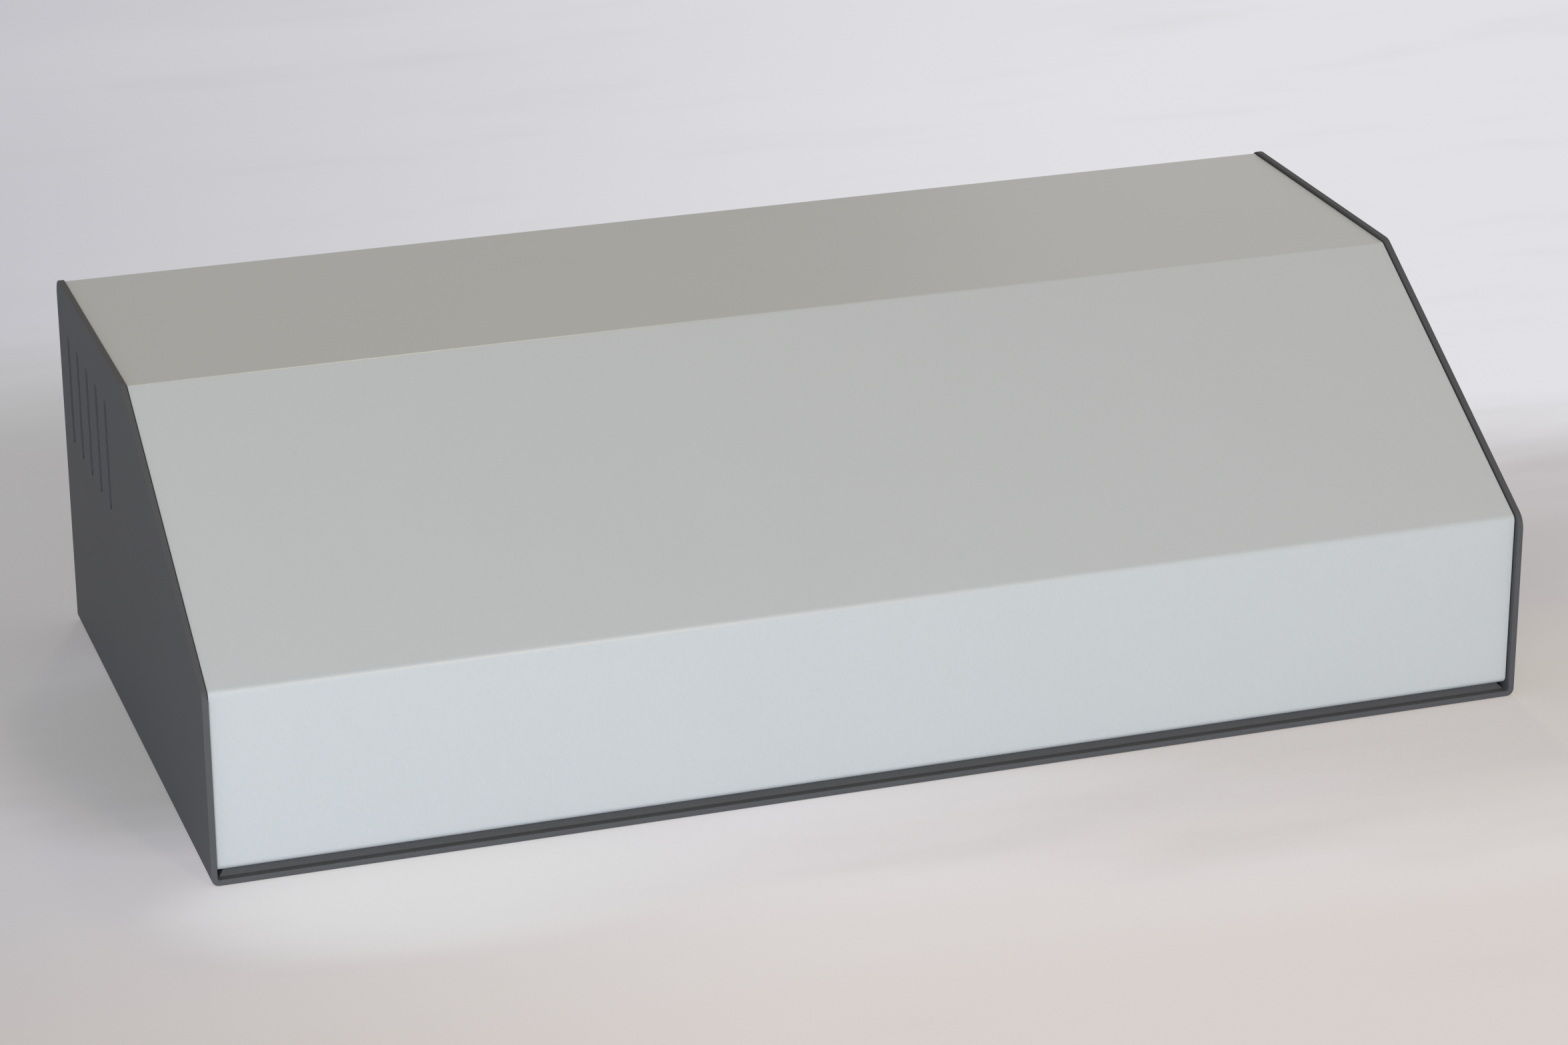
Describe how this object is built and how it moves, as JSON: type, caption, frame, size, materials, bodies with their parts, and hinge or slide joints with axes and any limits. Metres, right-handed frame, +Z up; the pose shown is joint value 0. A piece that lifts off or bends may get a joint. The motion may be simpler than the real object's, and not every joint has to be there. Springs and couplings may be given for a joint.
{
  "type": "aluminum desk enclosure",
  "caption": "Desk enclosure with a sloping control panel: a folded grey cover screwed from below into a dark folded tray with vented sides.",
  "frame": {"origin": "middle of the enclosure's footprint, on the surface that it stands on", "axes": "+X to the right along the longest side as seen from the front, +Y to the back, +Z up; the upright front edge faces -Y"},
  "size_m": [0.35, 0.175, 0.1],
  "materials": {
    "tray_coat": "fine-textured dark blue-grey powder coat on aluminium",
    "cover_coat": "fine-textured light grey powder coat on aluminium",
    "zinc": "zinc-plated steel"
  },
  "bodies": {
    "root": {"back_clinch_nut_1": "zinc", "back_clinch_nut_2": "zinc", "back_screw_1": "zinc", "back_screw_2": "zinc", "base_tray": "tray_coat", "earth_nut": "zinc", "earth_star_washer": "zinc", "earth_stud": "zinc", "earth_washer": "zinc", "front_clinch_nut_1": "zinc", "front_clinch_nut_2": "zinc", "front_screw_1": "zinc", "front_screw_2": "zinc", "top_cover": "cover_coat"}
  },
  "joints": []
}
